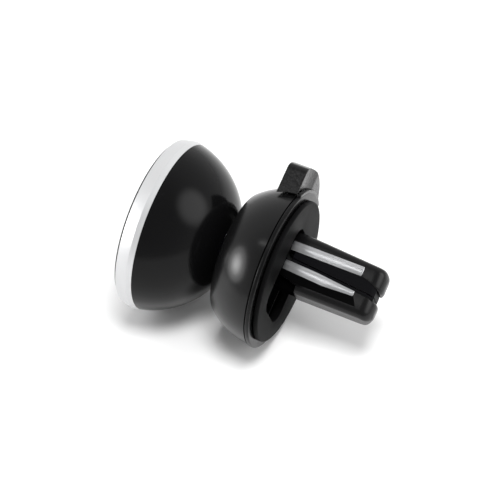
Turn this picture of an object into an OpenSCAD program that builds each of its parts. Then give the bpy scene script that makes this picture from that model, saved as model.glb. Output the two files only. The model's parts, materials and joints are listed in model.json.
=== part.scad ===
// Magnetic car phone mount with a ball-jointed magnet head and a lever-driven vent clip.
// Frame: +Y runs from the head into the air vent, +Z is up, and the origin is the centre of
// the faceplate's rear face, the plane that bears on the vent. All sizes are in millimetres.

/* [Magnet head] */
// Radius of the bezel ring at its front edge
bezel_front_r = 20; // [19.9:0.05:20.1]
// Largest radius of the bezel ring, at the back of its band
bezel_band_r = 20.5; // [20.4:0.05:20.6]
// Front edge of the bezel ring, measured along Y
bezel_front_y = -33.9; // [-34:0.05:-33.8]
// Radius of the silicone pad
pad_r = 19.15; // [18.8:0.05:19.2]
// How far the pad stands out of the bezel
pad_proud = 0.6; // [0.4:0.1:0.8]
// Outside radius of the bowl-shaped shell
bowl_r = 20.75; // [20.7:0.01:20.8]
// Wall thickness of the bowl
bowl_wall = 1.6; // [1.5:0.1:1.7]
// Number of magnets round the tray
magnet_count = 6; // [3:1:6]
// Radius of one magnet
magnet_r = 4.4; // [3.5:0.1:4.4]
// Radius of the circle that the magnets stand on
magnet_circle_r = 10.5; // [10.2:0.1:10.8]

/* [Ball joint] */
// Radius of the ball
ball_r = 5.8; // [5.6:0.1:5.8]
// Gap between the sliding spherical faces
ball_gap = 0.15; // [0.1:0.01:0.15]
// Distance of the ball's centre from the origin, along Y
ball_y = -22; // [-22.1:0.05:-21.9]
// Radius of the neck behind the ball
neck_r = 2.6; // [2.4:0.1:2.6]

/* [Collar] */
// Radius of the collar's domed outline
dome_r = 16.4; // [16.3:0.05:16.5]
// Front crest of the collar, measured along Y
crest_y = -13.3; // [-13.4:0.05:-13.2]
// Radius of the rounding at the crest
crest_round = 1.8; // [1.6:0.1:2]
// Radius of the bore that the lever ring turns in
collar_bore_r = 15.65; // [15.62:0.01:15.7]

/* [Lever ring] */
// Outside radius of the lever ring's rim
rim_r = 18.8; // [18.7:0.05:18.9]
// Sideways position of the tab's flat flank
tab_flank_x = 12.9; // [12:0.1:13]
// Radius of the tab's domed top
tab_dome_r = 15.05; // [14.8:0.05:15.1]
// Front end of the tab, measured along Y
tab_front_y = -7.1; // [-7.5:0.1:-6]
// Turn of the lever from closed to open, in degrees
lever_turn = 75; // [60:1:76]

/* [Vent clip] */
// Half width of both jaws
jaw_half_w = 3.8; // [3.6:0.1:3.9]
// Length of the jaws behind the faceplate
jaw_len = 22; // [20:0.5:24]
// Top of the fixed upper jaw
jaw_top_z = 9.15; // [9:0.05:9.2]
// Bottom of the sliding lower jaw
jaw_bottom_z = -4.7; // [-4.8:0.1:-4.4]
// Travel of the lower jaw for each radian that the lever turns
cam_lead = 3.8; // [3.5:0.1:3.8]
// Radius of the cam pin
cam_pin_r = 1; // [0.9:0.05:1]

/* [Faceplate] */
// Radius of the faceplate
face_r = 16.9; // [16.7:0.05:17]
// Half width of the opening that the jaws come out of
opening_half_w = 8; // [7.5:0.1:8.2]
// Lower edge of the opening
opening_low_z = -11.2; // [-11.4:0.1:-11]
// Upper edge of the opening
opening_high_z = 9.4; // [9.4:0.1:9.6]

/* [Hidden] */

fine = 96;
small = 48;
cut = 0.5;
slack = 0.05;

// Head, from front to back
bezel_band_y = -31;
bezel_back_y = -29.75;
bezel_edge = 0.25;
bowl_y = -34.66;
bowl_inner_r = bowl_r - bowl_wall;
bowl_back_r = sqrt(pow(bowl_r, 2) - pow(bezel_back_y - bowl_y, 2));
bowl_rebate_r = 19.4;
bowl_mouth_r = 7;
pad_back_y = -33.4;
tray_r = 18.9;
tray_back_y = bezel_band_y;
magnet_front_y = pad_back_y + slack;
magnet_hole_r = magnet_r + slack;
pole_r = 14.4;
pole_back_y = -30.2;
boss_circle_r = 16.4;
boss_r = 1.9;
boss_end_y = -25;
tray_screw_r = 0.95;
tray_screw_head_r = 1.8;
tray_screw_head_h = 1;
tray_screw_tip_y = -26.4;

// Ball joint, in layers round the ball's centre
layer_in_r = ball_r + ball_gap;
layer_out_r = layer_in_r + 0.55;
socket_r = layer_out_r + ball_gap;
cup_r = 8;
cup_back_y = -20.7;
cup_flange_r = 14.4;
cup_flange_back_y = -29;
cup_screw_circle_r = 12.8;
cup_screw_r = 0.9;
cup_screw_head_r = 1.4;
cup_screw_head_h = 0.8;
cup_screw_tip_y = -32.6;
cap_r = 9.2;
cap_front_y = -26;
cap_back_y = -18.1;
liner_edge_y = -24.4;
ring_front_y = -21.4;
ring_back_y = -18.6;
stud_flange_r = 4.4;
stud_flange_h = 1.1;
stud_shank_r = 3;
stud_end_y = -6.3;
stud_thread_r = 1.5;
stud_thread_y = -9.8;

// Collar
dome_x = 2.14;
dome_y = -1.84;
collar_back_y = -2.6;
crest_x = dome_x + sqrt(pow(dome_r - crest_round, 2) - pow(crest_y + crest_round - dome_y, 2));
crest_blend_y = dome_y + (crest_y + crest_round - dome_y) * dome_r / (dome_r - crest_round);
lip_round = 1.2;
lip_x = 12.2;
dish_y = -12;
web_back_y = -10;
cavity_r = 14.2;
bore_front_y = -8.3;
hub_r = 4.3;
hub_back_y = -5.05;
hub_shoulder_y = -6.2;
washer_in_r = 15.9;
washer_out_r = 18;
washer_back_y = -2.35;

// Lever ring and cam
sleeve_r = collar_bore_r - slack;
sleeve_in_r = 14.4;
sleeve_front_y = -8;
rim_front_y = -2.3;
rim_back_y = -1.3;
ledge_r = 13.7;
ledge_front_y = -5.2;
ledge_back_y = -4.2;
clip_groove_r = 14.9;
clip_front_y = -7.65;
clip_gap_w = 5;
cam_front_y = -7;
cam_r = sleeve_in_r - slack;
cam_hole_r = 4.5;
cam_start_r = 6.8;
cam_clear = 0.15;
cam_step = 3;
key_half_w = 1.5;
key_r = 15;
tab_back_y = -1.7;
tab_dome_x = 5.05;
tab_dome_z = 7.7;
tab_corner = 1.8;
tab_gap = 0.65;
tab_foot_r = 19.3;
tab_back_round = 1.8;
tab_far_x = -5.2;
scoop_r = 12;
scoop_x = 11;
scoop_y = 9.6;

// Guide plate
guide_r = 13.4;
guide_front_y = -5;
guide_floor_y = -3.8;
guide_back_y = -1.75;
channel_half_w = 4.7;
rail_half_w = 5.7;
recess_half_w = 8.3;
channel_top_z = 11.3;
pin_slot_half_w = cam_pin_r + 0.15;
jaw_travel = cam_lead * lever_turn * PI / 180;
face_screw_x = 10.2;
face_screw_z = 6;
face_screw_r = 0.8;
face_screw_head_r = 1.3;
face_screw_head_h = 0.7;
face_screw_tip_y = -0.5;
jaw_screw_x = 2.5;
jaw_screw_z = 9.6;
jaw_screw_tip_y = -2.3;
centre_head_r = 2.6;
centre_head_h = 1.15;
centre_screw_r = 1.48;
centre_tip_y = -9.3;

// Faceplate
face_edge_y = -1;
face_edge_round = 0.35;
spigot_r = 14.1;
opening_round = 4;

// Jaws. The grip line is where the two rubber pads meet, and it falls towards the tips.
grip_root_z = 2.6;
grip_slope = 0.085;
grip_half_gap = 0.12;
jaw_base_half_w = 4.65;
slider_half_w = 4.6;
jaw_base_y = -1.85;
slider_front_y = -3.7;
slider_low_z = -8.2;
slider_high_z = 2.5;
upper_base_low_z = 2.9;
upper_base_high_z = 11.2;
jaw_round = 1.7;
tip_round = 3.4;
nose_round = 2;
nose_chamfer = 0.7;
top_slope = 0.062;

// The upper shell's inner edge runs straight, then falls to the lip at the tip.
upper_inner_z = 4.15;
upper_bend_y = 16.6;
upper_drop_y = 18.8;
upper_drop_z = 3.55;
upper_lip_z = 2.4;

// The lower jaw is thinner at its root, where a narrow rib under its middle stiffens it.
relief_y = 3.5;
relief_root_z = -1.5;
relief_end_z = -3.1;
root_rib_half_w = 1.8;
root_rib_low_z = -4.4;

// Grip pads
lower_pad_t = 0.6;
pad_start_y = 0.3;
pad_end_y = 20.8;
pad_half_w = 3.75;

// Inlays
inlay_start_y = -1;
inlay_end_y = 16.4;
inlay_depth = 0.45;
inlay_proud = 0.12;
inlay_margin = 0.1;
upper_inlay_high_z = 6.45;
lower_inlay_low_z = -0.75;

// ---- Helpers -------------------------------------------------------------------------------

// Stands a shape that was built round Z on the Y axis
module along_y() {
  rotate([-90, 0, 0]) children();
}

// Revolves an outline of (radius, y) points round the Y axis
module turned() {
  along_y() rotate_extrude($fn = fine) children();
}

// Round bar on the Y axis from y0 to y1
module rod(r, y0, y1, n = fine) {
  translate([0, y0, 0]) along_y() cylinder(r = r, h = y1 - y0, $fn = n);
}

// Cone on the Y axis, r0 at y0 and r1 at y1
module taper(r0, r1, y0, y1) {
  translate([0, y0, 0]) along_y() cylinder(r1 = r0, r2 = r1, h = y1 - y0, $fn = small);
}

// Extrudes an outline of (x, z) points from y0 to y1
module slab(y0, y1) {
  translate([0, y1, 0]) rotate([90, 0, 0]) linear_extrude(y1 - y0) children();
}

// Extrudes an outline of (y, z) points from x0 to x1
module side_slab(x0, x1) {
  translate([x0, 0, 0]) rotate([90, 0, 90]) linear_extrude(x1 - x0) children();
}

// Ball round the ball joint's centre
module ball(r) {
  translate([0, ball_y, 0]) sphere(r = r, $fn = fine);
}

// Everything between two planes along Y
module between(y0, y1, r = 30) {
  intersection() {
    children();
    rod(r, y0, y1);
  }
}

// Copies a piece round the Y axis
module ring_of(count, r, start = 0) {
  for (i = [0 : count - 1]) {
    rotate([0, start + i * 360 / count, 0]) translate([r, 0, 0]) children();
  }
}

// Rectangle with true arcs at its corners, from (x0, y0) to (x1, y1)
module round_rect(x0, y0, x1, y1, r) {
  translate([x0 + r, y0]) square([x1 - x0 - 2 * r, y1 - y0]);
  translate([x0, y0 + r]) square([x1 - x0, y1 - y0 - 2 * r]);
  for (x = [x0 + r, x1 - r]) {
    for (y = [y0 + r, y1 - r]) {
      translate([x, y]) circle(r = r, $fn = small);
    }
  }
}

// Screw whose head faces the front: head from y0, shank to y1
module screw(head_r, head_h, shank_r, y0, y1) {
  difference() {
    rod(head_r, y0, y0 + head_h, small);
    rod(head_r * 0.45, y0 - cut, y0 + head_h * 0.5, 6);
  }
  rod(shank_r, y0 + head_h, y1, small);
}

// ---- Magnet head ---------------------------------------------------------------------------

module phone_pad() {
  edge = 0.15;
  front_y = bezel_front_y - pad_proud;
  color("#1b1b1c") turned() polygon([
    [0, front_y], [pad_r - edge, front_y], [pad_r, front_y + edge], [pad_r, pad_back_y],
    [0, pad_back_y]
  ]);
}

module bezel_ring() {
  color("#c9cccd") turned() polygon([
    [pad_r + slack, bezel_front_y], [bezel_front_r - bezel_edge, bezel_front_y],
    [bezel_front_r, bezel_front_y + bezel_edge], [bezel_band_r, bezel_band_y],
    [bowl_back_r, bezel_back_y], [bowl_rebate_r + slack, bezel_back_y],
    [bowl_rebate_r + slack, bezel_band_y], [pad_r + slack, bezel_band_y]
  ]);
}

module magnet_tray() {
  color("#202022") difference() {
    rod(tray_r, pad_back_y, tray_back_y);
    ring_of(magnet_count, magnet_circle_r) rod(magnet_hole_r, pad_back_y - cut, tray_back_y + cut);
    ring_of(4, boss_circle_r, 45) {
      rod(tray_screw_head_r + slack, pad_back_y - cut, pad_back_y + tray_screw_head_h, small);
      rod(tray_screw_r + slack, pad_back_y, tray_back_y + cut, small);
    }
    ring_of(3, cup_screw_circle_r, 30) rod(cup_screw_r, cup_screw_tip_y - cut, tray_back_y + cut, small);
  }
}

module magnets() {
  color("#b9bdc2") ring_of(magnet_count, magnet_circle_r) rod(magnet_r, magnet_front_y, tray_back_y);
}

module pole_plate() {
  color("#9a9ea3") difference() {
    rod(pole_r, tray_back_y, pole_back_y);
    ring_of(3, cup_screw_circle_r, 30) rod(cup_screw_r + slack, tray_back_y - cut, pole_back_y + cut, small);
  }
}

module tray_screws() {
  color("#8d9094") ring_of(4, boss_circle_r, 45) {
    screw(tray_screw_head_r, tray_screw_head_h, tray_screw_r, pad_back_y, tray_screw_tip_y);
  }
}

module head_shell() {
  color("#0c0c0d") difference() {
    union() {
      between(bezel_back_y, ball_y + bowl_r) translate([0, bowl_y, 0]) sphere(r = bowl_r, $fn = fine);
      rod(bowl_rebate_r, bezel_band_y, bezel_back_y + cut);
    }
    difference() {
      translate([0, bowl_y, 0]) sphere(r = bowl_inner_r, $fn = fine);
      ring_of(4, boss_circle_r, 45) rod(boss_r, bezel_band_y, boss_end_y, small);
    }
    ring_of(4, boss_circle_r, 45) rod(tray_screw_r, bezel_band_y - cut, tray_screw_tip_y + cut, small);
    rod(bowl_mouth_r, cap_back_y, dish_y);
  }
}

module socket_cup() {
  color("#2a2a2c") difference() {
    turned() difference() {
      polygon([
        [0, pole_back_y], [cup_flange_r, pole_back_y], [cup_flange_r, cup_flange_back_y],
        [cup_r, cup_flange_back_y], [cup_r, cup_back_y], [0, cup_back_y]
      ]);
      translate([0, ball_y]) circle(r = socket_r, $fn = fine);
    }
    ring_of(3, cup_screw_circle_r, 30) rod(cup_screw_r + slack, pole_back_y - cut, cup_flange_back_y + cut, small);
  }
}

module socket_screws() {
  color("#8d9094") ring_of(3, cup_screw_circle_r, 30) {
    rod(cup_screw_head_r, cup_flange_back_y, cup_flange_back_y + cup_screw_head_h, small);
    rod(cup_screw_r, cup_screw_tip_y, cup_flange_back_y + slack, small);
  }
}

module retaining_cap() {
  color("#2a2a2c") difference() {
    rod(cap_r, cap_front_y, cap_back_y);
    rod(cup_r + slack, cap_front_y - cut, cup_back_y + slack);
    ball(socket_r);
  }
}

module socket_liner() {
  color("#e4e2da") between(ball_y - layer_out_r - cut, liner_edge_y) difference() {
    ball(layer_out_r);
    ball(layer_in_r);
  }
}

module friction_ring() {
  color("#e4e2da") between(ring_front_y, ring_back_y) difference() {
    ball(layer_out_r);
    ball(layer_in_r);
  }
}

// ---- Collar --------------------------------------------------------------------------------

module ball_stud() {
  color("#a5a8ab") difference() {
    union() {
      ball(ball_r);
      rod(neck_r, ball_y, dish_y + cut);
      rod(stud_flange_r, dish_y, dish_y + stud_flange_h);
      rod(stud_shank_r, dish_y, stud_end_y);
    }
    rod(stud_thread_r, stud_thread_y, stud_end_y + cut, small);
  }
}

// Outline of the collar: a domed back, a rounded crest and a lip that falls into the front dish
module collar_outline() {
  intersection() {
    translate([dome_x, dome_y]) circle(r = dome_r, $fn = fine);
    translate([0, crest_blend_y]) square([bezel_band_r, collar_back_y - crest_blend_y]);
  }
  translate([crest_x, crest_y + crest_round]) circle(r = crest_round, $fn = small);
  translate([lip_x, crest_y + lip_round]) circle(r = lip_round, $fn = small);
  translate([lip_x, crest_y]) square([crest_x - lip_x, crest_round]);
  translate([0, dish_y]) square([lip_x, crest_round]);
}

module collar_housing() {
  color("#0c0c0d") difference() {
    turned() difference() {
      collar_outline();
      translate([0, web_back_y]) square([cavity_r, -web_back_y]);
      translate([0, bore_front_y]) square([collar_bore_r, -bore_front_y]);
      translate([0, crest_y - cut]) square([lip_x - lip_round, dish_y - crest_y + cut]);
    }
    rod(stud_flange_r + slack, dish_y - cut, dish_y + stud_flange_h);
    rod(stud_shank_r + slack, dish_y, web_back_y + cut);
  }
  color("#0c0c0d") difference() {
    rod(hub_r, web_back_y - cut, hub_back_y);
    rod(stud_shank_r + slack, web_back_y - 2 * cut, hub_shoulder_y);
    rod(centre_screw_r + 2 * slack, hub_shoulder_y - cut, hub_back_y + cut, small);
  }
}

module thrust_washer() {
  color("#d8d6cf") difference() {
    rod(washer_out_r, collar_back_y, washer_back_y);
    rod(washer_in_r, collar_back_y - cut, washer_back_y + cut);
  }
}

// ---- Lever ring and cam --------------------------------------------------------------------

// Tab outline in the plane across the axis: flat flank, domed top and a long fall to the far side
module tab_outline() {
  corner_x = tab_flank_x - tab_corner;
  corner_z = tab_dome_z + sqrt(pow(tab_dome_r - tab_corner, 2) - pow(corner_x - tab_dome_x, 2));
  intersection() {
    translate([tab_dome_x, tab_dome_z]) circle(r = tab_dome_r, $fn = fine);
    translate([tab_far_x, 0]) square([corner_x - tab_far_x, 2 * rim_r]);
  }
  translate([corner_x, corner_z]) circle(r = tab_corner, $fn = small);
  translate([0, 0]) square([tab_flank_x, corner_z]);
}

// Half outline of a drum from y0 to y1 whose back edge is rounded
module square_to_back(r, y0, y1, edge) {
  translate([0, y0]) square([r, y1 - y0 - edge]);
  translate([0, y0]) square([r - edge, y1 - y0]);
  translate([r - edge, y1 - edge]) circle(r = edge, $fn = small);
}

// The tab stands clear of the collar's dome by the same gap all along
module tab() {
  difference() {
    intersection() {
      slab(tab_front_y, tab_back_y) tab_outline();
      translate([tab_dome_x, 0, tab_dome_z]) turned() {
        square_to_back(tab_dome_r + cut, tab_front_y, tab_back_y, tab_back_round + cut);
      }
    }
    translate([scoop_x, scoop_y, rim_r / 2]) cylinder(r = scoop_r, h = rim_r, $fn = fine);
    turned() intersection() {
      translate([dome_x, dome_y]) circle(r = dome_r + tab_gap, $fn = fine);
      translate([0, tab_front_y - cut]) square([rim_r + cut, tab_back_y - tab_front_y + 2 * cut]);
    }
    rod(sleeve_r - cut, tab_front_y - cut, 0);
  }
}

module lever_ring() {
  color("#19191a") difference() {
    union() {
      rod(sleeve_r, sleeve_front_y, rim_front_y + cut);
      rod(rim_r, rim_front_y, rim_back_y);
      tab();
      intersection() {
        rod(tab_foot_r, rim_front_y, rim_back_y - slack);
        slab(rim_front_y, rim_back_y) translate([tab_far_x, rim_r / 2])
          square([tab_flank_x - tab_far_x, rim_r]);
      }
    }
    rod(sleeve_in_r, sleeve_front_y - cut, ledge_front_y);
    rod(ledge_r, ledge_front_y - cut, ledge_back_y + cut);
    rod(sleeve_in_r, ledge_back_y, rim_back_y + cut);
    rod(clip_groove_r, clip_front_y - slack, cam_front_y);
    cam_keys(key_r + slack, key_half_w + slack, sleeve_front_y - cut, ledge_front_y + slack);
  }
}

// Outline of the spiral slot: the cam pin's path, widened square to the path
function path_r(a) = cam_start_r + cam_lead * a * PI / 180;
function half_width(a) = (cam_pin_r + cam_clear) / cos(atan(cam_lead / path_r(a)));
function slot_point(a, side) = (path_r(a) + side * half_width(a)) * [-sin(a), -cos(a)];

module spiral_slot() {
  start = -11;
  end = lever_turn + 7;
  steps = ceil((end - start) / cam_step);
  angles = [for (i = [0 : steps]) start + (end - start) * i / steps];
  polygon(concat(
    [for (i = [0 : steps]) slot_point(angles[i], 1)],
    [for (i = [0 : steps]) slot_point(angles[steps - i], -1)]
  ));
}

// Two keys that make the cam plate turn with the lever ring
module cam_keys(r, half_w, y0, y1) {
  intersection() {
    slab(y0, y1) translate([-r, -half_w]) square([2 * r, 2 * half_w]);
    rod(r, y0 - cut, y1 + cut);
  }
}

module cam_plate() {
  color("#3a3b3d") difference() {
    union() {
      rod(cam_r, cam_front_y, ledge_front_y);
      cam_keys(key_r, key_half_w, cam_front_y, ledge_front_y);
    }
    rod(cam_hole_r, cam_front_y - cut, ledge_front_y + cut);
    slab(cam_front_y - cut, ledge_front_y + cut) spiral_slot();
  }
}

module cam_circlip() {
  band = 1;
  color("#8d9094") difference() {
    rod(clip_groove_r - slack, clip_front_y, cam_front_y - slack);
    rod(clip_groove_r - slack - band, clip_front_y - cut, cam_front_y + cut);
    translate([-clip_gap_w / 2, clip_front_y - cut, 0]) cube([clip_gap_w, 2, rim_r]);
  }
}

// ---- Guide plate and faceplate -------------------------------------------------------------

// Places a piece at each of the four faceplate screws
module at_face_screws() {
  for (x = [-face_screw_x, face_screw_x]) {
    for (z = [-face_screw_z, face_screw_z]) {
      translate([x, 0, z]) children();
    }
  }
}

// Places a piece at each of the two upper jaw screws
module at_jaw_screws() {
  for (x = [-jaw_screw_x, jaw_screw_x]) {
    translate([x, 0, jaw_screw_z]) children();
  }
}

module guide_plate() {
  recess_low_z = -guide_r - cut;
  recess_high_z = opening_high_z + cut;
  color("#141415") difference() {
    rod(guide_r, guide_front_y, guide_back_y);
    for (side = [0, 1]) {
      mirror([side, 0, 0]) slab(guide_floor_y, 0) translate([rail_half_w, recess_low_z])
        square([recess_half_w - rail_half_w, recess_high_z - recess_low_z]);
    }
    slab(guide_floor_y, 0) translate([-channel_half_w, recess_low_z])
      square([2 * channel_half_w, channel_top_z - recess_low_z]);
    slab(guide_front_y - cut, 0) translate([-pin_slot_half_w, -cam_start_r - jaw_travel - 1.3])
      square([2 * pin_slot_half_w, jaw_travel + 2.6]);
    at_face_screws() {
      rod(face_screw_head_r + slack, guide_front_y - cut, guide_front_y + face_screw_head_h, small);
      rod(face_screw_r + slack, guide_front_y, 0, small);
    }
    at_jaw_screws() {
      rod(face_screw_head_r + slack, guide_front_y - cut, guide_front_y + face_screw_head_h, small);
      rod(face_screw_r + slack, guide_front_y, 0, small);
    }
    taper(centre_screw_r + slack, centre_head_r + slack, guide_floor_y - centre_head_h, guide_floor_y);
    rod(centre_screw_r + slack, guide_front_y - cut, 0, small);
  }
}

module centre_screw() {
  color("#8d9094") difference() {
    union() {
      taper(centre_screw_r, centre_head_r, guide_floor_y - centre_head_h, guide_floor_y);
      rod(centre_screw_r, centre_tip_y, guide_floor_y - centre_head_h + slack, small);
    }
    rod(1.1, guide_floor_y - centre_head_h * 0.6, guide_floor_y + cut, 6);
  }
}

module faceplate() {
  color("#161617") difference() {
    union() {
      turned() polygon([
        [0, face_edge_y], [face_r, face_edge_y], [face_r, -face_edge_round],
        [face_r - face_edge_round, 0], [0, 0]
      ]);
      rod(spigot_r, guide_back_y, face_edge_y + slack);
    }
    slab(guide_back_y - cut, cut)
      round_rect(-opening_half_w, opening_low_z, opening_half_w, opening_high_z, opening_round);
    at_face_screws() rod(face_screw_r, guide_back_y - cut, face_screw_tip_y, small);
  }
}

module faceplate_screws() {
  color("#8d9094") at_face_screws() {
    screw(face_screw_head_r, face_screw_head_h, face_screw_r, guide_front_y, face_screw_tip_y);
  }
}

// ---- Vent clip -----------------------------------------------------------------------------

function grip_z(y) = grip_root_z - grip_slope * y;

// Rounds a jaw's outer long edges: the outline across the jaws, from z0 up to z1
module jaw_section(z0, z1) {
  intersection() {
    translate([-jaw_half_w, z0]) square([2 * jaw_half_w, z1 - z0]);
    round_rect(-jaw_half_w, jaw_bottom_z, jaw_half_w, jaw_top_z, jaw_round);
  }
}

// Rounds the jaws' tips as seen from above
module jaw_plan(inset = 0) {
  half_w = jaw_half_w - inset;
  translate([0, 0, jaw_bottom_z - cut]) linear_extrude(jaw_top_z - jaw_bottom_z + 2 * cut)
    round_rect(-half_w, jaw_base_y - tip_round, half_w, jaw_len - inset, tip_round);
}

// Limits a jaw's side outline to z0...z1 with true arcs at the nose
module jaw_nose(z0, z1) {
  translate([jaw_base_y - nose_round, jaw_bottom_z - cut])
    square([jaw_len - jaw_base_y, jaw_top_z - jaw_bottom_z + 2 * cut]);
  round_rect(jaw_len - 3 * nose_round, z0, jaw_len, z1, nose_round);
}

// Heights of the sloping lines along the jaws
function top_z(y) = jaw_top_z - top_slope * y;
function lower_top_z(y) = grip_z(y) - grip_half_gap - lower_pad_t;
function lip_slope() = (upper_drop_z - upper_lip_z) / (jaw_len - nose_chamfer - upper_drop_y);
function drop_z(y) = upper_drop_z - lip_slope() * (y - upper_drop_y);

// Outlines of the inlays seen from the side, made larger all round by the gap
function upper_inlay(gap) = [
  [inlay_start_y - gap, upper_inner_z + inlay_margin - gap],
  [inlay_end_y + gap, upper_inner_z + inlay_margin - gap],
  [inlay_end_y + gap, upper_inlay_high_z + gap],
  [inlay_start_y - gap, upper_inlay_high_z + gap]
];
function lower_inlay(gap) = [
  [inlay_start_y - gap, lower_inlay_low_z - gap],
  [inlay_end_y + gap, lower_inlay_low_z - gap],
  [inlay_end_y + gap, lower_top_z(inlay_end_y) - inlay_margin + gap],
  [inlay_start_y - gap, lower_top_z(inlay_start_y) - inlay_margin + gap]
];

// A pair of inlays, one in each flank of a jaw
module inlay_pair(outline, gap) {
  for (side = [0, 1]) {
    mirror([side, 0, 0]) side_slab(jaw_half_w - inlay_depth - gap, jaw_half_w + inlay_proud)
      polygon(outline);
  }
}

module upper_jaw() {
  color("#0e0e0f") difference() {
    union() {
      slab(guide_floor_y, jaw_base_y) translate([-jaw_base_half_w, upper_base_low_z])
        square([2 * jaw_base_half_w, upper_base_high_z - upper_base_low_z]);
      intersection() {
        slab(jaw_base_y - cut, jaw_len) jaw_section(upper_lip_z, jaw_top_z);
        side_slab(-jaw_half_w, jaw_half_w) intersection() {
          jaw_nose(jaw_bottom_z, top_z(jaw_len - nose_round));
          polygon([
            [jaw_base_y - cut, upper_inner_z], [upper_bend_y, upper_inner_z], [upper_drop_y, upper_drop_z],
            [jaw_len - nose_chamfer, upper_lip_z], [jaw_len + cut, upper_lip_z + nose_chamfer + cut],
            [jaw_len + cut, top_z(jaw_len + cut)], [0, jaw_top_z], [jaw_base_y - cut, jaw_top_z]
          ]);
        }
        jaw_plan();
      }
    }
    inlay_pair(upper_inlay(slack / 2), slack / 2);
    at_jaw_screws() rod(face_screw_r, guide_floor_y - cut, jaw_screw_tip_y, small);
  }
}

module upper_jaw_screws() {
  color("#8d9094") at_jaw_screws() {
    screw(face_screw_head_r, face_screw_head_h, face_screw_r, guide_front_y, jaw_screw_tip_y);
  }
}

module upper_jaw_inlays() {
  color("#d4d6d8") inlay_pair(upper_inlay(0), 0);
}

module upper_grip_pad() {
  color("#1d1e22") intersection() {
    side_slab(-pad_half_w, pad_half_w) polygon([
      [pad_start_y, grip_z(pad_start_y) + grip_half_gap], [pad_end_y, grip_z(pad_end_y) + grip_half_gap],
      [pad_end_y, drop_z(pad_end_y) - slack], [upper_drop_y, upper_drop_z - slack],
      [upper_bend_y, upper_inner_z - slack], [pad_start_y, upper_inner_z - slack]
    ]);
    jaw_plan(slack);
  }
}

module lower_jaw() {
  color("#0e0e0f") difference() {
    union() {
      slab(slider_front_y, jaw_base_y) translate([-slider_half_w, slider_low_z])
        square([2 * slider_half_w, slider_high_z - slider_low_z]);
      intersection() {
        slab(jaw_base_y - cut, jaw_len) jaw_section(jaw_bottom_z, slider_high_z);
        side_slab(-jaw_half_w, jaw_half_w) intersection() {
          jaw_nose(jaw_bottom_z, jaw_top_z);
          polygon([
            [jaw_base_y - cut, relief_root_z], [relief_y, relief_end_z], [relief_y, jaw_bottom_z - cut],
            [jaw_len + cut, jaw_bottom_z - cut], [jaw_len + cut, lower_top_z(jaw_len) - nose_chamfer - cut],
            [jaw_len - nose_chamfer, lower_top_z(jaw_len - nose_chamfer)],
            [0, lower_top_z(0)], [jaw_base_y - cut, slider_high_z]
          ]);
        }
        jaw_plan();
      }
      side_slab(-root_rib_half_w, root_rib_half_w) polygon([
        [jaw_base_y - cut, root_rib_low_z], [relief_y + root_rib_half_w, root_rib_low_z],
        [relief_y + root_rib_half_w, relief_end_z], [relief_y, relief_end_z + cut], [jaw_base_y - cut, 0]
      ]);
    }
    inlay_pair(lower_inlay(slack / 2), slack / 2);
    translate([0, 0, -cam_start_r]) rod(cam_pin_r, slider_front_y - cut, jaw_base_y - cut, small);
  }
}

module cam_pin() {
  color("#a5a8ab") translate([0, 0, -cam_start_r]) rod(cam_pin_r, cam_front_y + 0.1, jaw_base_y - cut, small);
}

module lower_jaw_inlays() {
  color("#d4d6d8") inlay_pair(lower_inlay(0), 0);
}

module lower_grip_pad() {
  color("#1d1e22") intersection() {
    side_slab(-pad_half_w, pad_half_w) polygon([
      [pad_start_y, lower_top_z(pad_start_y) + slack], [pad_start_y, grip_z(pad_start_y) - grip_half_gap],
      [pad_end_y, grip_z(pad_end_y) - grip_half_gap], [pad_end_y, lower_top_z(pad_end_y) + slack]
    ]);
    jaw_plan(slack);
  }
}

// ---- Assembly ------------------------------------------------------------------------------

phone_pad();
bezel_ring();
magnet_tray();
magnets();
pole_plate();
tray_screws();
head_shell();
socket_cup();
socket_screws();
retaining_cap();
socket_liner();
friction_ring();
ball_stud();
collar_housing();
thrust_washer();
lever_ring();
cam_plate();
cam_circlip();
guide_plate();
centre_screw();
faceplate();
faceplate_screws();
upper_jaw();
upper_jaw_screws();
upper_jaw_inlays();
upper_grip_pad();
lower_jaw();
cam_pin();
lower_jaw_inlays();
lower_grip_pad();
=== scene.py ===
import json
import math
import bpy
import bmesh
from mathutils import Matrix, Vector


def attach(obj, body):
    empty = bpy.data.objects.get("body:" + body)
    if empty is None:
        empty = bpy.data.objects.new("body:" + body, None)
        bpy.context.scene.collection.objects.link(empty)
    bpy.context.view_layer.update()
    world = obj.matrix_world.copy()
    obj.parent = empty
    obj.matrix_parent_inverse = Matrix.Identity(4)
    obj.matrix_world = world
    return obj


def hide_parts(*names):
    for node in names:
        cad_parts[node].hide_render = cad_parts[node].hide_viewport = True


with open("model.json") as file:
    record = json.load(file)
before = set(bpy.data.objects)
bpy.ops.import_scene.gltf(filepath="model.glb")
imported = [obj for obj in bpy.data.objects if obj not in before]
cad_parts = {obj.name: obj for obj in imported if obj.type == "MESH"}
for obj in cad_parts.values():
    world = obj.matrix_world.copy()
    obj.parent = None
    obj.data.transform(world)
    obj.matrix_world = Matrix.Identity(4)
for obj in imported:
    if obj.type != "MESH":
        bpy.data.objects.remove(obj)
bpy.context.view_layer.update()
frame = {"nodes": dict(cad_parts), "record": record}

# Shapes are given in millimetres and lights in metres. The axes are the part's own: y is the main
# axis, from the phone to the vent, z points to the lever's tab and x to the near flank.
MM = 0.001
SEGMENTS = 256       # in a full turn, unless a lathe call says otherwise
SHARP = 28.0         # the angle between two faces, in degrees, above which their edge is sharp
SHARP_WIDE = 40      # the same for the jaws and the tab's foot


# ---- Mesh helpers ---------------------------------------------------------------------------

def new_object(name, verts, faces, sharp_deg=SHARP):
    mesh = bpy.data.meshes.new(name)
    mesh.from_pydata([(x * MM, y * MM, z * MM) for x, y, z in verts], [], faces)
    obj = bpy.data.objects.new(name, mesh)
    bpy.context.scene.collection.objects.link(obj)
    tidy_mesh(obj, sharp_deg)
    return obj


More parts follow.
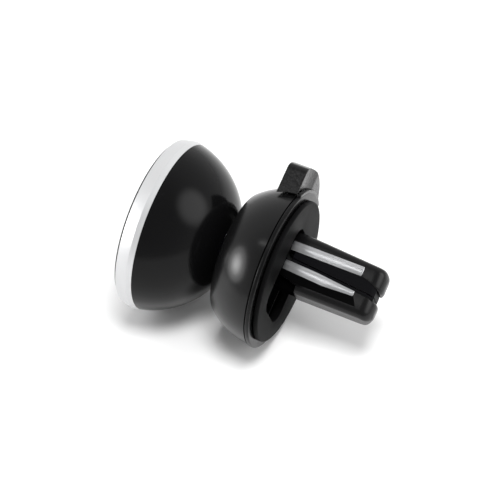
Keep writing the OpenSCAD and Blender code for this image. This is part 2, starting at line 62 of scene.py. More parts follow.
def tidy_mesh(obj, sharp_deg):
    """Joins doubled points, turns every face outwards and marks the sharp edges."""
    bm = bmesh.new()
    bm.from_mesh(obj.data)
    bmesh.ops.remove_doubles(bm, verts=bm.verts, dist=1e-7)
    bmesh.ops.recalc_face_normals(bm, faces=bm.faces)
    limit = math.radians(sharp_deg)
    for face in bm.faces:
        face.smooth = True
    for edge in bm.edges:
        edge.smooth = not (edge.is_manifold and edge.calc_face_angle(0.0) > limit)
    bm.to_mesh(obj.data)
    bm.free()


def arc(cx, cy, r, a0, a1, steps):
    """Points on a circle from angle a0 to a1, in degrees."""
    return [(cx + r * math.cos(math.radians(a0 + (a1 - a0) * i / steps)),
             cy + r * math.sin(math.radians(a0 + (a1 - a0) * i / steps)))
            for i in range(steps + 1)]


def rounded(points, steps=6):
    """A closed outline of (a, b, corner radius) points with its corners turned into arcs."""
    out = []
    count = len(points)
    for i, (x, y, r) in enumerate(points):
        if r <= 0:
            out.append((x, y))
            continue
        p = Vector((x, y))
        before = Vector(points[i - 1][:2]) - p
        after = Vector(points[(i + 1) % count][:2]) - p
        half = before.angle(after) / 2
        cut = min(r / math.tan(half), before.length * 0.49, after.length * 0.49)
        radius = cut * math.tan(half)
        inward = (before.normalized() + after.normalized()).normalized()
        centre = p + inward * (radius / math.sin(half))
        start = p + before.normalized() * cut - centre
        end = p + after.normalized() * cut - centre
        a0 = math.atan2(start.y, start.x)
        turn = math.atan2(end.y, end.x) - a0
        turn = (turn + math.pi) % (2 * math.pi) - math.pi
        for k in range(steps + 1):
            a = a0 + turn * k / steps
            out.append((centre.x + radius * math.cos(a), centre.y + radius * math.sin(a)))
    return out


def lathe(name, outline, segments=SEGMENTS):
    """Turns a closed outline of (radius, y) points round the Y axis."""
    verts, faces, rings = [], [], []
    for r, y in outline:
        if r < 1e-6:
            verts.append((0.0, y, 0.0))
            rings.append([len(verts) - 1] * segments)
            continue
        first = len(verts)
        for s in range(segments):
            a = 2 * math.pi * s / segments
            verts.append((r * math.sin(a), y, r * math.cos(a)))
        rings.append(list(range(first, first + segments)))
    for i in range(len(rings)):
        one, two = rings[i], rings[(i + 1) % len(rings)]
        for s in range(segments):
            t = (s + 1) % segments
            corners = []
            for v in (one[s], one[t], two[t], two[s]):
                if v not in corners:
                    corners.append(v)
            if len(corners) > 2:
                faces.append(corners)
    return new_object(name, verts, faces)


def extruded(name, outline, axis, low, high):
    """A solid of a closed outline: (x, z) along the y axis or (y, z) along the x axis."""
    def place(a, b, t):
        return (t, a, b) if axis == "x" else (a, t, b)
    verts = [place(a, b, low) for a, b in outline] + [place(a, b, high) for a, b in outline]
    return new_object(name, verts, tube_faces(len(outline), 2))


def tube_faces(n, rings):
    """Faces between rings of n points each, with a cap at either end."""
    faces = [list(range(n)), list(range((rings - 1) * n, rings * n))]
    for r in range(rings - 1):
        for i in range(n):
            j = (i + 1) % n
            faces.append([r * n + i, r * n + j, (r + 1) * n + j, (r + 1) * n + i])
    return faces


def apply_modifiers(obj):
    bpy.context.view_layer.update()
    graph = bpy.context.evaluated_depsgraph_get()
    mesh = bpy.data.meshes.new_from_object(obj.evaluated_get(graph))
    old = obj.data
    obj.modifiers.clear()
    obj.data = mesh
    bpy.data.meshes.remove(old)


def boolean(obj, tool, operation):
    """Cuts obj with the tool or keeps what they share, and then removes the tool."""
    mod = obj.modifiers.new("cut", "BOOLEAN")
    mod.operation = operation
    mod.solver = "EXACT"
    mod.object = tool
    apply_modifiers(obj)
    bpy.data.objects.remove(tool)


def bevel(obj, width, angle=40.0):
    """Bevels the edges that turn by more than the angle."""
    mod = obj.modifiers.new("bevel", "BEVEL")
    mod.width = width * MM
    mod.segments = 3
    mod.limit_method = "ANGLE"
    mod.angle_limit = math.radians(angle)
    apply_modifiers(obj)


def soften(obj, voxel, rounds):
    """Rounds every edge of a solid by remeshing it and smoothing the result."""
    remesh = obj.modifiers.new("remesh", "REMESH")
    remesh.mode = "VOXEL"
    remesh.voxel_size = voxel * MM
    smooth = obj.modifiers.new("smooth", "SMOOTH")
    smooth.factor = 0.5
    smooth.iterations = rounds
    apply_modifiers(obj)
    for polygon in obj.data.polygons:
        polygon.use_smooth = True


# ---- Materials ------------------------------------------------------------------------------

CLOUD_SCALE = 120.0      # of the slow variation, per metre
TURNED_STRETCH = 0.0006  # metres of noise per radian, so that grain runs round the axis
GRAIN_DEPTH = 0.0001     # metres that the bump stands for at full strength


def math_node(tree, operation, *values):
    """A maths node whose inputs are sockets or plain numbers. Gives its output."""
    node = tree.nodes.new("ShaderNodeMath")
    node.operation = operation
    for slot, value in enumerate(values):
        if isinstance(value, float):
            node.inputs[slot].default_value = value
        else:
            tree.links.new(value, node.inputs[slot])
    return node.outputs[0]


def noise_node(tree, coords, scale, detail):
    node = tree.nodes.new("ShaderNodeTexNoise")
    node.inputs["Scale"].default_value = scale
    node.inputs["Detail"].default_value = detail
    tree.links.new(coords, node.inputs["Vector"])
    return node.outputs["Fac"]


def range_node(tree, value, from_low, from_high, to_low, to_high):
    node = tree.nodes.new("ShaderNodeMapRange")
    node.inputs["From Min"].default_value = from_low
    node.inputs["From Max"].default_value = from_high
    node.inputs["To Min"].default_value = to_low
    node.inputs["To Max"].default_value = to_high
    tree.links.new(value, node.inputs["Value"])
    return node


def turned_coords(tree, coords):
    """Coordinates of radius, y and stretched angle, for metal that was turned on a lathe."""
    split = tree.nodes.new("ShaderNodeSeparateXYZ")
    tree.links.new(coords, split.inputs[0])
    x, y, z = (split.outputs[axis] for axis in "XYZ")
    squares = [math_node(tree, "POWER", side, 2.0) for side in (x, z)]
    radius = math_node(tree, "SQRT", math_node(tree, "ADD", *squares))
    angle = math_node(tree, "ARCTAN2", x, z)
    join = tree.nodes.new("ShaderNodeCombineXYZ")
    tree.links.new(radius, join.inputs["X"])
    tree.links.new(y, join.inputs["Y"])
    tree.links.new(math_node(tree, "MULTIPLY", angle, TURNED_STRETCH), join.inputs["Z"])
    return join.outputs[0]


def material(name, colour, roughness, metallic=0.0, grain=3000.0, vary=0.08, bump=0.02,
             specular=0.5, colour_vary=0.1, turned=False, stretch=(1, 1, 1)):
    """A surface whose roughness and colour follow fine grain and slow clouds, and whose bump
    follows the grain. Grain is per metre, vary is in roughness and colour_vary is a share."""
    mat = bpy.data.materials.new(name)
    mat.use_nodes = True
    tree = mat.node_tree
    shader = tree.nodes["Principled BSDF"]
    shader.inputs["Metallic"].default_value = metallic
    shader.inputs["Specular IOR Level"].default_value = specular
    coords = tree.nodes.new("ShaderNodeTexCoord").outputs["Object"]
    mapping = tree.nodes.new("ShaderNodeMapping")
    mapping.inputs["Scale"].default_value = stretch
    tree.links.new(turned_coords(tree, coords) if turned else coords, mapping.inputs["Vector"])
    fine = noise_node(tree, mapping.outputs[0], grain, 6.0)
    clouds = noise_node(tree, coords, CLOUD_SCALE, 3.0)
    mixed = math_node(tree, "MULTIPLY_ADD", fine, 0.5, math_node(tree, "MULTIPLY", clouds, 0.5))
    rough = range_node(tree, mixed, 0.3, 0.7, roughness - vary, roughness + vary)
    tree.links.new(rough.outputs[0], shader.inputs["Roughness"])
    tint = tree.nodes.new("ShaderNodeMix")
    tint.data_type = "RGBA"
    tint.inputs["A"].default_value = (*[c * (1 - colour_vary) for c in colour], 1)
    tint.inputs["B"].default_value = (*[c * (1 + colour_vary) for c in colour], 1)
    tree.links.new(mixed, tint.inputs["Factor"])
    tree.links.new(tint.outputs["Result"], shader.inputs["Base Color"])
    lift = tree.nodes.new("ShaderNodeBump")
    lift.inputs["Strength"].default_value = bump
    lift.inputs["Distance"].default_value = GRAIN_DEPTH
    tree.links.new(fine, lift.inputs["Height"])
    tree.links.new(lift.outputs[0], shader.inputs["Normal"])
    return mat


FINISHES = {
    "silicone": dict(colour=(0.017, 0.017, 0.018), roughness=0.6, grain=6000, vary=0.2, bump=0.5,
                     specular=0.35, colour_vary=0.6),
    "grip_rubber": dict(colour=(0.0035, 0.0035, 0.0042), roughness=0.5, grain=6000, bump=0.3,
                        specular=0.06),
    "matte_black": dict(colour=(0.0012, 0.0012, 0.0013), roughness=0.5, grain=6000, bump=0.2,
                        specular=0.03),
    "silver_aluminium": dict(colour=(0.6, 0.603, 0.61), roughness=0.4, metallic=0.5, grain=9000,
                             vary=0.06, bump=0.12, turned=True, colour_vary=0.03),
    "gloss_black": dict(colour=(0.003, 0.003, 0.0032), roughness=0.14, grain=1500, vary=0.02,
                        bump=0.004, specular=0.14),
    "collar_black": dict(colour=(0.004, 0.004, 0.0042), roughness=0.19, grain=1800, vary=0.025,
                         bump=0.006, specular=0.27),
    "rim_black": dict(colour=(0.0035, 0.0035, 0.0037), roughness=0.26, grain=3000, vary=0.05,
                      bump=0.03, specular=0.14),
    "jaw_black": dict(colour=(0.0035, 0.0035, 0.0037), roughness=0.24, grain=4000, vary=0.04,
                      bump=0.03, specular=0.24),
    "satin_black": dict(colour=(0.0035, 0.0035, 0.0037), roughness=0.5, grain=7000, vary=0.06,
                        bump=0.25, specular=0.035),
    "tab_black": dict(colour=(0.003, 0.003, 0.0032), roughness=0.22, grain=1500, vary=0.12,
                      bump=0.9, specular=0.3, colour_vary=0.9),
    "black_plastic": dict(colour=(0.0012, 0.0012, 0.0013), roughness=0.55, grain=5000, bump=0.2,
                          specular=0.02),
    # A lightless black that reflects nothing: painted shade for the lower jaw's root plate and rib,
    # which lie in the opening's shade.
    "painted_shade_black": dict(colour=(0.0008, 0.0008, 0.0009), roughness=0.6, grain=5000, bump=0.2,
                       specular=0.0),
    "nylon": dict(colour=(0.75, 0.73, 0.66), roughness=0.45, grain=4000, bump=0.1),
    "steel": dict(colour=(0.55, 0.56, 0.57), roughness=0.28, metallic=1.0, grain=6000, bump=0.1),
    "polished_steel": dict(colour=(0.5, 0.505, 0.515), roughness=0.22, metallic=0.7, grain=2500,
                           vary=0.1, bump=0.1, stretch=(1, 0.04, 1), colour_vary=0.7),
    "magnet_nickel": dict(colour=(0.68, 0.66, 0.62), roughness=0.25, metallic=1.0, grain=3000,
                          bump=0.08),
}
LOOKS = {name: material(name, **finish) for name, finish in FINISHES.items()}


def dress(obj, look):
    obj.data.materials.clear()
    obj.data.materials.append(LOOKS[look])


def piece(obj, body, node, slot, look=None):
    """Makes a piece ride on a body in place of a CAD node. Its look is its slot's, or its own."""
    dress(obj, look or slot)
    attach(obj, body)
    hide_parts(node)


# ---- Carried-over nodes ---------------------------------------------------------------------

slots = {s["node"]: s["material_slot"] for s in frame["record"]["subparts"]}
for node, obj in frame["nodes"].items():
    dress(obj, slots[node])

# ---- Magnet head ----------------------------------------------------------------------------

PHONE_Y = -34.5
PAD_R, PAD_BACK_Y = 19.15, -33.4

pad = lathe("pad", rounded([
    (0, PHONE_Y, 0), (PAD_R, PHONE_Y, 0.15), (PAD_R, PAD_BACK_Y, 0), (0, PAD_BACK_Y, 0)]))
piece(pad, "head", "phone_pad", "silicone")

# The ring widens from its front to an edge, and a narrow bevel leads from there to the bowl.
RING_IN_R, RING_SEAT_R = 19.2, 19.45
RING_FRONT_R, RING_FRONT_Y = 20.0, -33.9
RING_EDGE_R, RING_EDGE_Y = 20.5, -31.0
RING_BACK_R, RING_BACK_Y = 20.15, -29.75

bezel = lathe("bezel", rounded([
    (RING_IN_R, RING_FRONT_Y, 0.05), (RING_FRONT_R, RING_FRONT_Y, 0.22),
    (RING_EDGE_R, RING_EDGE_Y, 0.18), (RING_BACK_R, RING_BACK_Y, 0.12),
    (RING_SEAT_R, RING_BACK_Y, 0), (RING_SEAT_R, RING_EDGE_Y, 0), (RING_IN_R, RING_EDGE_Y, 0)]))
piece(bezel, "head", "bezel_ring", "silver_aluminium")

# The bowl is a shell between two spheres about one centre, with a mouth for the ball's neck.
BOWL_Y, BOWL_R, BOWL_IN_R = -34.66, 20.75, 19.15
BOWL_MOUTH_R, BOWL_SEAT_R = 7.25, 19.4


def bowl_rim_angle(r, y):
    """The angle, from a sphere's widest circle, of its circle at y."""
    return math.degrees(math.atan2(y - BOWL_Y, math.sqrt(r * r - (y - BOWL_Y) ** 2)))


def bowl_mouth_angle(r):
    """The angle, from a sphere's widest circle, of its circle at the mouth."""
    return math.degrees(math.acos(BOWL_MOUTH_R / r))


bowl_line = arc(0, BOWL_Y, BOWL_R, bowl_rim_angle(BOWL_R, RING_BACK_Y), bowl_mouth_angle(BOWL_R), 96)
bowl_line += arc(0, BOWL_Y, BOWL_IN_R, bowl_mouth_angle(BOWL_IN_R),
                 bowl_rim_angle(BOWL_IN_R, RING_EDGE_Y), 60)
bowl_line += [(BOWL_SEAT_R, RING_EDGE_Y), (BOWL_SEAT_R, RING_BACK_Y)]
piece(lathe("bowl", bowl_line), "head", "head_shell", "gloss_black")

# ---- Collar ---------------------------------------------------------------------------------

# The outside is a dome that rolls over a crest into the mouth, with the hub at its bottom. The
# lever ring's sleeve turns inside the rear.
DOME_R, DOME_X, DOME_Y = 16.4, 2.14, -1.84
CREST_R, CREST_Y = 1.8, -13.3
MOUTH_R, MOUTH_LIP = 11.0, 1.2
HUB_HOLE_R, HUB_FRONT_Y, HUB_BACK_Y = 4.45, -12.0, -10.0
WELL_R = 14.2
COLLAR_IN_R, COLLAR_IN_Y, COLLAR_BACK_Y = 15.65, -8.3, -2.6

crest_rise = CREST_Y + CREST_R - DOME_Y
crest_x = DOME_X + math.sqrt((DOME_R - CREST_R) ** 2 - crest_rise ** 2)
blend_angle = math.degrees(math.atan2(crest_rise, crest_x - DOME_X))
back_angle = math.degrees(math.asin((COLLAR_BACK_Y - DOME_Y) / DOME_R))
collar_line = arc(DOME_X, DOME_Y, DOME_R, back_angle, blend_angle, 72)
collar_line += arc(crest_x, CREST_Y + CREST_R, CREST_R, blend_angle, -90, 16)[1:]
collar_line += arc(MOUTH_R + MOUTH_LIP, CREST_Y + MOUTH_LIP, MOUTH_LIP, -90, -180, 16)
collar_line += [(MOUTH_R, HUB_FRONT_Y), (HUB_HOLE_R, HUB_FRONT_Y), (HUB_HOLE_R, HUB_BACK_Y),
                (WELL_R, HUB_BACK_Y), (WELL_R, COLLAR_IN_Y), (COLLAR_IN_R, COLLAR_IN_Y),
                (COLLAR_IN_R, COLLAR_BACK_Y)]
piece(lathe("collar", collar_line), "collar", "collar_housing", "gloss_black", "collar_black")

# ---- Faceplate ------------------------------------------------------------------------------

DISC_R, DISC_FRONT_Y = 16.9, -1.0
SPIGOT_R, SPIGOT_Y = 14.1, -1.75
OPENING_HALF_W, OPENING_LOW, OPENING_HIGH, OPENING_CORNER = 8, -11.2, 9.4, 4
CUT_FRONT_Y, CUT_BACK_Y = -3, 2  # the ends of the opening's cutter, clear of the disc
DISC_BEVEL, DISC_SHARP = 0.18, 35

disc = lathe("disc", rounded([
    (0, SPIGOT_Y, 0), (SPIGOT_R, SPIGOT_Y, 0), (SPIGOT_R, DISC_FRONT_Y, 0),
    (DISC_R, DISC_FRONT_Y, 0.1), (DISC_R, 0, 0.4), (0, 0, 0)]))
opening = extruded("opening", rounded([
    (-OPENING_HALF_W, OPENING_LOW, OPENING_CORNER), (OPENING_HALF_W, OPENING_LOW, OPENING_CORNER),
    (OPENING_HALF_W, OPENING_HIGH, OPENING_CORNER), (-OPENING_HALF_W, OPENING_HIGH, OPENING_CORNER),
], 16), "y", CUT_FRONT_Y, CUT_BACK_Y)
boolean(disc, opening, "DIFFERENCE")
bevel(disc, DISC_BEVEL, 50)
tidy_mesh(disc, DISC_SHARP)
piece(disc, "collar", "faceplate", "satin_black")

# ---- Lever ring with its tab ----------------------------------------------------------------

SLEEVE_R, SLEEVE_IN_R, SLEEVE_FRONT_Y = 15.6, 14.4, -8.0
RIM_R, RIM_FRONT_Y, RIM_BACK_Y = 18.8, -2.3, -1.3
LEDGE_R, LEDGE_FRONT_Y, LEDGE_BACK_Y = 13.7, -5.2, -4.2

rim = lathe("rim", rounded([
    (SLEEVE_R, SLEEVE_FRONT_Y, 0.1), (SLEEVE_R, RIM_FRONT_Y, 0), (RIM_R, RIM_FRONT_Y, 0.3),
    (RIM_R, RIM_BACK_Y, 0.35), (SLEEVE_IN_R, RIM_BACK_Y, 0.12), (SLEEVE_IN_R, LEDGE_BACK_Y, 0),
    (LEDGE_R, LEDGE_BACK_Y, 0), (LEDGE_R, LEDGE_FRONT_Y, 0), (SLEEVE_IN_R, LEDGE_FRONT_Y, 0),
    (SLEEVE_IN_R, SLEEVE_FRONT_Y, 0)]))
piece(rim, "lever", "lever_ring", "satin_black", "rim_black")

# Seen along y, the tab has a straight near flank, a rounded corner and one long arc for a top.
TAB_FLANK, TAB_CORNER, TAB_FAR, TAB_LOW = 12.9, 1.8, -5.2, 12.0
TAB_X, TAB_Z, TAB_R = 5.05, 7.7, 15.05
TAB_FRONT_Y, TAB_BACK_Y, TAB_BACK_ROUND = -7.1, -1.7, 1.2
TAB_GAP = 0.65  # between the tab and the collar's dome
DRUM_MARGIN, DRUM_FRONT_Y = 0.5, -8
SCOOP_R, SCOOP_X, SCOOP_Y = 22.0, 11.0, -2.4  # the hollow in the rear face, and its deepest line
SCOOP_HALF_LENGTH, SCOOP_Z = 30, 20
TAB_VOXEL, TAB_SMOOTHING = 0.14, 14

corner_x = TAB_FLANK - TAB_CORNER
corner_z = TAB_Z + math.sqrt((TAB_R - TAB_CORNER) ** 2 - (corner_x - TAB_X) ** 2)
near_angle = math.degrees(math.atan2(corner_z - TAB_Z, corner_x - TAB_X))
far_angle = math.degrees(math.acos((TAB_FAR - TAB_X) / TAB_R))
tab_line = [(TAB_FAR, TAB_LOW), (TAB_FLANK, TAB_LOW)]
tab_line += arc(corner_x, corner_z, TAB_CORNER, 0, near_angle, 10)
tab_line += arc(TAB_X, TAB_Z, TAB_R, near_angle, far_angle, 72)[1:]
tab = extruded("tab", tab_line, "y", TAB_FRONT_Y, TAB_BACK_Y)

# A drum about the top's own axis rounds the top's rear edge. The collar's dome and the gap are cut
# from the underside, and an upright cylinder hollows the rear face.
drum_r = TAB_R + DRUM_MARGIN
drum = lathe("drum", rounded([
    (0, DRUM_FRONT_Y, 0), (drum_r, DRUM_FRONT_Y, 0), (drum_r, TAB_BACK_Y, TAB_BACK_ROUND),
    (0, TAB_BACK_Y, 0)], 12))
drum.data.transform(Matrix.Translation(Vector((TAB_X, 0, TAB_Z)) * MM))
boolean(tab, drum, "INTERSECT")
under = lathe("under", arc(DOME_X, DOME_Y, DOME_R + TAB_GAP, -40, 8, 48) + [(0, 0.5), (0, -13)])
boolean(tab, under, "DIFFERENCE")
scoop = lathe("scoop", [(0, -SCOOP_HALF_LENGTH), (SCOOP_R, -SCOOP_HALF_LENGTH),
                        (SCOOP_R, SCOOP_HALF_LENGTH), (0, SCOOP_HALF_LENGTH)], 512)
scoop.data.transform(Matrix.Rotation(math.radians(90), 4, "X"))
scoop.data.transform(Matrix.Translation(Vector((SCOOP_X, SCOOP_Y + SCOOP_R, SCOOP_Z)) * MM))
boolean(tab, scoop, "DIFFERENCE")
soften(tab, TAB_VOXEL, TAB_SMOOTHING)
piece(tab, "lever", "lever_ring", "satin_black", "tab_black")

# The rim stands out a little under the tab.
FOOT_R, FOOT_IN_R, FOOT_BACK_Y, FOOT_BEVEL = 19.3, 18.4, -1.36, 0.12

foot_near, foot_far = (math.degrees(math.acos(x / FOOT_R)) for x in (TAB_FLANK, TAB_FAR))
foot_line = arc(0, 0, FOOT_R, foot_near, foot_far, 48)
foot_line += arc(0, 0, FOOT_IN_R, foot_far, foot_near, 48)
foot = extruded("tab_foot", foot_line, "y", RIM_FRONT_Y, FOOT_BACK_Y)
bevel(foot, FOOT_BEVEL)
tidy_mesh(foot, SHARP_WIDE)
piece(foot, "lever", "lever_ring", "satin_black", "tab_black")

# ---- Vent clip ------------------------------------------------------------------------------

# The jaws' lines are heights at y, from the root inside the faceplate to the tip.
HALF_W, JAW_START, ROOT_Y, TIP = 3.8, -3.7, -1.85, 22.0
PLAN_R, NOSE_R, LIP_R = 3.4, 2.0, 0.7  # the tip's radii: in plan, outside and on the slot's side
OUTER_ROUND, RELIEF_ROUND = 1.7, 0.3   # of the long outer edges, and of those in the relief
SLOT_ROUND, MOUTH_ROUND = 0.2, 0.9     # of the edges along the slot, and of those at its mouth
MOUTH_START_Y, MOUTH_GROWTH = 19.5, 2  # where the one begins to grow into the other
UPPER_TOP, UPPER_SLOPE = 9.15, 0.062
LEVEL_Z, LEVEL_END_Y = 4.15, 16.6      # the upper jaw's underside is level up to here
BEND_Y, BEND_Z, UPPER_LIP_Z = 18.8, 3.55, 2.4
LOWER_TOP, LOWER_SLOPE = 1.88, 0.085
JAW_BOTTOM = -4.7
RELIEF_Y, RELIEF_ROOT_Z, RELIEF_END_Z = 3.5, -1.5, -3.1  # the lower jaw is thin up to here
RELIEF_STEP = 0.03                     # the length in which it reaches its full depth
PLATE_BEVEL = 0.2


def corner_drop(y, r):
    """How far a corner of radius r has fallen away at y, with its arc ending at the tip."""
    t = min(r, max(0.0, y - (TIP - r)))
    return r - math.sqrt(r * r - t * t)


def between(y, y0, z0, y1, z1):
    return z0 + (z1 - z0) * (y - y0) / (y1 - y0)


def upper_high(y):
    return UPPER_TOP - UPPER_SLOPE * min(y, TIP - NOSE_R) - corner_drop(y, NOSE_R)


def upper_low(y):
    if y < LEVEL_END_Y:
        return LEVEL_Z
    if y < BEND_Y:
        return between(y, LEVEL_END_Y, LEVEL_Z, BEND_Y, BEND_Z)
    lip_y = TIP - LIP_R
    return between(min(y, lip_y), BEND_Y, BEND_Z, lip_y, UPPER_LIP_Z) + corner_drop(y, LIP_R)


def lower_high(y):
    return LOWER_TOP - LOWER_SLOPE * y - corner_drop(y, LIP_R)


def lower_low(y):
    if y <= RELIEF_Y:
        return between(y, ROOT_Y, RELIEF_ROOT_Z, RELIEF_Y, RELIEF_END_Z)
    return JAW_BOTTOM + corner_drop(y, NOSE_R)


def smoothstep(t):
    t = min(1.0, max(0.0, t))
    return t * t * (3 - 2 * t)


def inner_round(y):
    """The radius of the edges along the slot, which grows over the last millimetres."""
    growth = smoothstep((y - MOUTH_START_Y) / MOUTH_GROWTH)
    return SLOT_ROUND + (MOUTH_ROUND - SLOT_ROUND) * growth


def lower_outer_round(y):
    return RELIEF_ROUND if y <= RELIEF_Y else OUTER_ROUND


def jaw_ring(y, low, high, low_round, high_round):
    """One cross-section of a jaw: a rectangle with its upper and lower corners rounded."""
    width = HALF_W - corner_drop(y, PLAN_R)
    low_round = min(low_round, width * 0.98, (high - low) * 0.49)
    high_round = min(high_round, width * 0.98, (high - low) * 0.49)
    points = arc(width - high_round, high - high_round, high_round, 90, 0, 10)
    points += arc(width - low_round, low + low_round, low_round, 0, -90, 10)
    points += arc(-width + low_round, low + low_round, low_round, -90, -180, 10)
    points += arc(-width + high_round, high - high_round, high_round, 180, 90, 10)
    return [(x, y, z) for x, z in points]


def jaw_stations():
    """Values of y: along the root and the flanks, and then closer together round the tip."""
    stations = [JAW_START, ROOT_Y, 0, 1.7, RELIEF_Y, RELIEF_Y + RELIEF_STEP]
    stations += [*range(6, 17, 2), LEVEL_END_Y, 17.2, 18, 18.6]
    stations += [TIP - PLAN_R + PLAN_R * math.sin(math.radians(2.5 * i)) for i in range(2, 36)]
    return stations + [TIP]


def jaw(name, low_line, high_line, low_round, high_round):
    """A jaw lofted along y, rounded at its tip as seen from above and from the side."""
    rings = [jaw_ring(y, low_line(y), high_line(y), low_round(y), high_round(y))
             for y in jaw_stations()]
    faces = tube_faces(len(rings[0]), len(rings))
    return new_object(name, [p for ring in rings for p in ring], faces, SHARP_WIDE)


def base_plate(name, half_w, low, high, front_y):
    """The plate inside the faceplate that a jaw stands on."""
    outline = [(-half_w, low), (half_w, low), (half_w, high), (-half_w, high)]
    plate = extruded(name, outline, "y", front_y, ROOT_Y)
    bevel(plate, PLATE_BEVEL)
    return plate


upper = jaw("upper_jaw_shell", upper_low, upper_high, inner_round, lambda y: OUTER_ROUND)
piece(upper, "collar", "upper_jaw", "gloss_black", "jaw_black")
upper_base = base_plate("upper_base", 4.65, 2.9, 11.2, -3.8)
piece(upper_base, "collar", "upper_jaw", "gloss_black", "black_plastic")

lower = jaw("lower_jaw_shell", lower_low, lower_high, lower_outer_round, inner_round)
piece(lower, "slider", "lower_jaw", "gloss_black", "jaw_black")
# The slider's plate wears the lightless black: painted shade in the opening around the lower jaw's
# root.
lower_base = base_plate("lower_base", 4.6, -8.2, 2.5, JAW_START)
piece(lower_base, "slider", "lower_jaw", "gloss_black", "painted_shade_black")

# The rib runs under the thin root, from inside the slider plate to inside the full jaw. It wears the
# lightless black too, as painted shade for the recess under the root.
RIB_HALF_W, RIB_LOW = 1.8, -4.4
RIB_START, RIB_START_HIGH = ROOT_Y - 0.05, -1.0
RIB_END, RIB_END_HIGH = RELIEF_Y + 0.2, -2.6

rib_line = [(RIB_START, RIB_LOW), (RIB_END, RIB_LOW), (RIB_END, RIB_END_HIGH),
            (RIB_START, RIB_START_HIGH)]
rib = extruded("lower_root_rib", rib_line, "x", -RIB_HALF_W, RIB_HALF_W)
bevel(rib, PLATE_BEVEL)
piece(rib, "slider", "lower_jaw", "gloss_black", "painted_shade_black")

# A matte black panel stands just proud of each flank of the lower jaw, under the polished strip:
# painted shade for the dark band that lies there.
FLANKS = ((1, "near"), (-1, "far"))
SHADE_PANEL_LINE = [(-1.0, -1.9), (3.4, -2.8), (17.8, -2.8), (16.6, -0.72), (9.0, -1.06), (-1.0, -0.46)]
SHADE_PANEL_SUNK, SHADE_PANEL_PROUD = 0.2, 0.03

for side, label in FLANKS:
    inner, outer = sorted((side * (HALF_W - SHADE_PANEL_SUNK), side * (HALF_W + SHADE_PANEL_PROUD)))
    shade_panel = extruded("lower_shade_panel_" + label, SHADE_PANEL_LINE, "x", inner, outer)
    piece(shade_panel, "slider", "lower_jaw", "gloss_black", "matte_black")

STRIP_START, STRIP_END, STRIP_SUNK = -1.0, 16.4, 0.42
STRIP_PROUD, STRIP_CROWN, STRIP_END_DROP, STRIP_SHARP = 0.12, 0.1, 0.1, 45
UPPER_STRIP_LOW, UPPER_STRIP_HIGH = 4.25, 6.45


def strip_pair(name, body, node, low_line, high_line):
    """Two polished strips, one in each flank of a jaw, with crowned faces."""
    across = [-1 + 2 * i / 16 for i in range(17)]
    along = [STRIP_START, STRIP_START + STRIP_END_DROP, *range(1, 17),
             STRIP_END - STRIP_END_DROP, STRIP_END]
    for side, label in FLANKS:
        verts = []
        for k, y in enumerate(along):
            drop = 0.0 if 0 < k < len(along) - 1 else STRIP_END_DROP
            middle, half = (high_line(y) + low_line(y)) / 2, (high_line(y) - low_line(y)) / 2
            for u in across:
                crown = HALF_W + STRIP_PROUD - STRIP_CROWN * u * u - drop
                verts.append((side * crown, y, middle + u * half))
            verts.append((side * (HALF_W - STRIP_SUNK), y, middle + half))
            verts.append((side * (HALF_W - STRIP_SUNK), y, middle - half))
        faces = tube_faces(len(across) + 2, len(along))
        strip = new_object(name + "_" + label, verts, faces, STRIP_SHARP)
        piece(strip, body, node, "polished_steel")


# The lower strip slopes with its jaw and narrows over its outer half.
def lower_strip_low(y):
    return max(-0.5 - 0.06 * y, -1.45 + 0.045 * y)


def lower_strip_high(y):
    return min(1.72 - 0.05 * y, 2.05 - 0.098 * y)


strip_pair("upper_strip", "collar", "upper_jaw_inlays",
           lambda y: UPPER_STRIP_LOW, lambda y: UPPER_STRIP_HIGH)
strip_pair("lower_strip", "slider", "lower_jaw_inlays", lower_strip_low, lower_strip_high)

# ---- Floor ----------------------------------------------------------------------------------

# The mount lies on its side, so the floor is tilted in the part's own axes.
UP = Vector((0.898, -0.056, 0.437)).normalized()
FLOOR = -18.65 * MM  # its height along UP
REACH = 2.0          # metres from the middle to each side

east = UP.cross(Vector((0, 1, 0))).normalized()
north = UP.cross(east).normalized()
floor_mesh = bpy.data.meshes.new("floor")
floor_mesh.from_pydata([UP * FLOOR + east * a * REACH + north * b * REACH
                        for a, b in ((-1, -1), (1, -1), (1, 1), (-1, 1))], [], [(0, 1, 2, 3)])
floor = bpy.data.objects.new("floor", floor_mesh)
bpy.context.scene.collection.objects.link(floor)

# White paint above, and clear from below, so that the part can be seen from there.
floor_mat = bpy.data.materials.new("floor_white")
floor_mat.use_nodes = True
nodes, links = floor_mat.node_tree.nodes, floor_mat.node_tree.links
paint = nodes["Principled BSDF"]
paint.inputs["Base Color"].default_value = (0.95, 0.95, 0.95, 1)
paint.inputs["Roughness"].default_value = 0.6
clear = nodes.new("ShaderNodeBsdfTransparent")
side_mix = nodes.new("ShaderNodeMixShader")
geometry = nodes.new("ShaderNodeNewGeometry")
links.new(geometry.outputs["Backfacing"], side_mix.inputs[0])
links.new(paint.outputs[0], side_mix.inputs[1])
links.new(clear.outputs[0], side_mix.inputs[2])
links.new(side_mix.outputs[0], nodes["Material Output"].inputs["Surface"])
floor_mesh.materials.append(floor_mat)

# ---- Surroundings ---------------------------------------------------------------------------

# TOWARD points from the part to the camera, and RIGHT is the picture's right.
TOWARD = Vector((0.9476, 0.2402, -0.2104)).normalized()
RIGHT = Vector((-0.1414, 0.9064, 0.3981)).normalized()
SCREEN_UP = TOWARD.cross(RIGHT).normalized()
WINDOW_WAY = Vector((0.456, 0.781, 0.427)).normalized()

world = bpy.data.worlds.new("studio")
bpy.context.scene.world = world
world.use_nodes = True
studio = world.node_tree
around = studio.nodes.new("ShaderNodeTexCoord").outputs["Generated"]


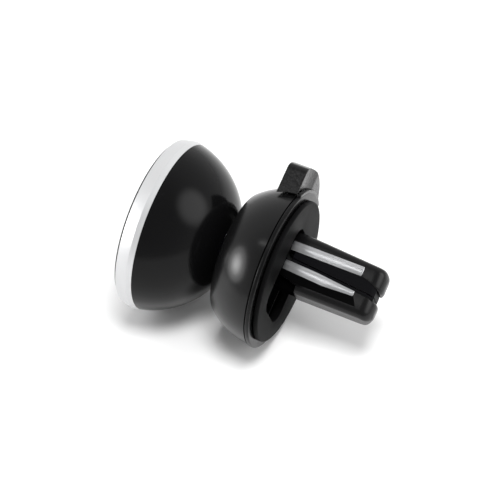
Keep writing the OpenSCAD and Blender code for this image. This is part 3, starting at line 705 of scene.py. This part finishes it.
def world_glow(direction, low, high, dim, bright):
    """Brightness that goes from dim to bright as a ray turns to the direction. Low and high are
    the dot products where that starts and ends."""
    dot = studio.nodes.new("ShaderNodeVectorMath")
    dot.operation = "DOT_PRODUCT"
    dot.inputs[1].default_value = direction
    studio.links.new(around, dot.inputs[0])
    glow = range_node(studio, dot.outputs["Value"], low, high, dim, bright)
    glow.interpolation_type = "SMOOTHSTEP"
    return glow.outputs[0]


ceiling = world_glow(UP, 0.1, 1.0, 0.95, 0.8)
front = world_glow(TOWARD, 0.2, 0.95, 1.0, 0.45)
window = world_glow(WINDOW_WAY, 0.905, 0.985, 0.0, 2.9)
room = math_node(studio, "ADD", math_node(studio, "MULTIPLY", ceiling, front), window)
background = studio.nodes["Background"]
background.inputs["Color"].default_value = (1, 1, 1, 1)
studio.links.new(room, background.inputs["Strength"])


# ---- Lamps (in metres and watts) ------------------------------------------------------------

def softbox(name, way, distance, aim, width, height, power):
    """A lamp that stands off from its aim in the given direction."""
    data = bpy.data.lights.new(name, "AREA")
    data.shape = "RECTANGLE"
    data.size, data.size_y = width, height
    data.energy = power
    light = bpy.data.objects.new(name, data)
    bpy.context.scene.collection.objects.link(light)
    light.location = aim + way * distance
    light.rotation_mode = "QUATERNION"
    light.rotation_quaternion = (aim - light.location).to_track_quat("-Z", "Y")
    return light


# The overhead lamp gives diffuse light only. The others give highlights only.
CENTRE = Vector((0, -0.006, 0))
OVERHEAD_WAY = (UP * 0.8 + TOWARD * 0.42 + RIGHT * 0.06).normalized()
STRIP_WAY = Vector((0.948, -0.24, 0.21)).normalized()
overhead = softbox("overhead", OVERHEAD_WAY, 0.6, CENTRE, 0.2, 0.2, 3.0)
overhead.visible_glossy = False

# Three oval lamps, one behind another, make one soft highlight on the collar's dome.
GLINT_SPOT = Vector((0.0164, -0.0075, -0.0061))
GLINT_WAY = Vector((0.473, -0.819, -0.326)).normalized()
for name, distance, width, height, power in (
        ("side_core", 0.50, 0.09, 0.11, 0.2), ("side_mid", 0.53, 0.18, 0.23, 0.7),
        ("side_halo", 0.56, 0.34, 0.42, 1.2)):
    light = softbox(name, GLINT_WAY, distance, GLINT_SPOT, width, height, power)
    light.data.shape = "ELLIPSE"
    light.visible_diffuse = False

strip_light = softbox("strip_light", STRIP_WAY, 0.5, CENTRE, 0.3, 0.04, 0.12)
strip_light.visible_diffuse = False

# ---- Camera ---------------------------------------------------------------------------------

DISTANCE = 0.4522                            # metres from the origin
AIM_RIGHT, AIM_UP = -8.877 * MM, 5.094 * MM  # where the camera looks, from the origin

camera_data = bpy.data.cameras.new("camera")
camera_data.sensor_width = 36.0
camera_data.lens = 144.0
camera_data.clip_start = 0.02
camera_data.clip_end = 20.0
camera = bpy.data.objects.new("camera", camera_data)
bpy.context.scene.collection.objects.link(camera)
bpy.context.scene.camera = camera
camera.location = TOWARD * DISTANCE
target = RIGHT * AIM_RIGHT + SCREEN_UP * AIM_UP
basis = Matrix((RIGHT, SCREEN_UP, TOWARD)).transposed()
turn = (-TOWARD).rotation_difference(target - camera.location).to_matrix()
camera.rotation_mode = "QUATERNION"
camera.rotation_quaternion = (turn @ basis).to_quaternion()

bpy.context.scene.view_settings.view_transform = "Standard"
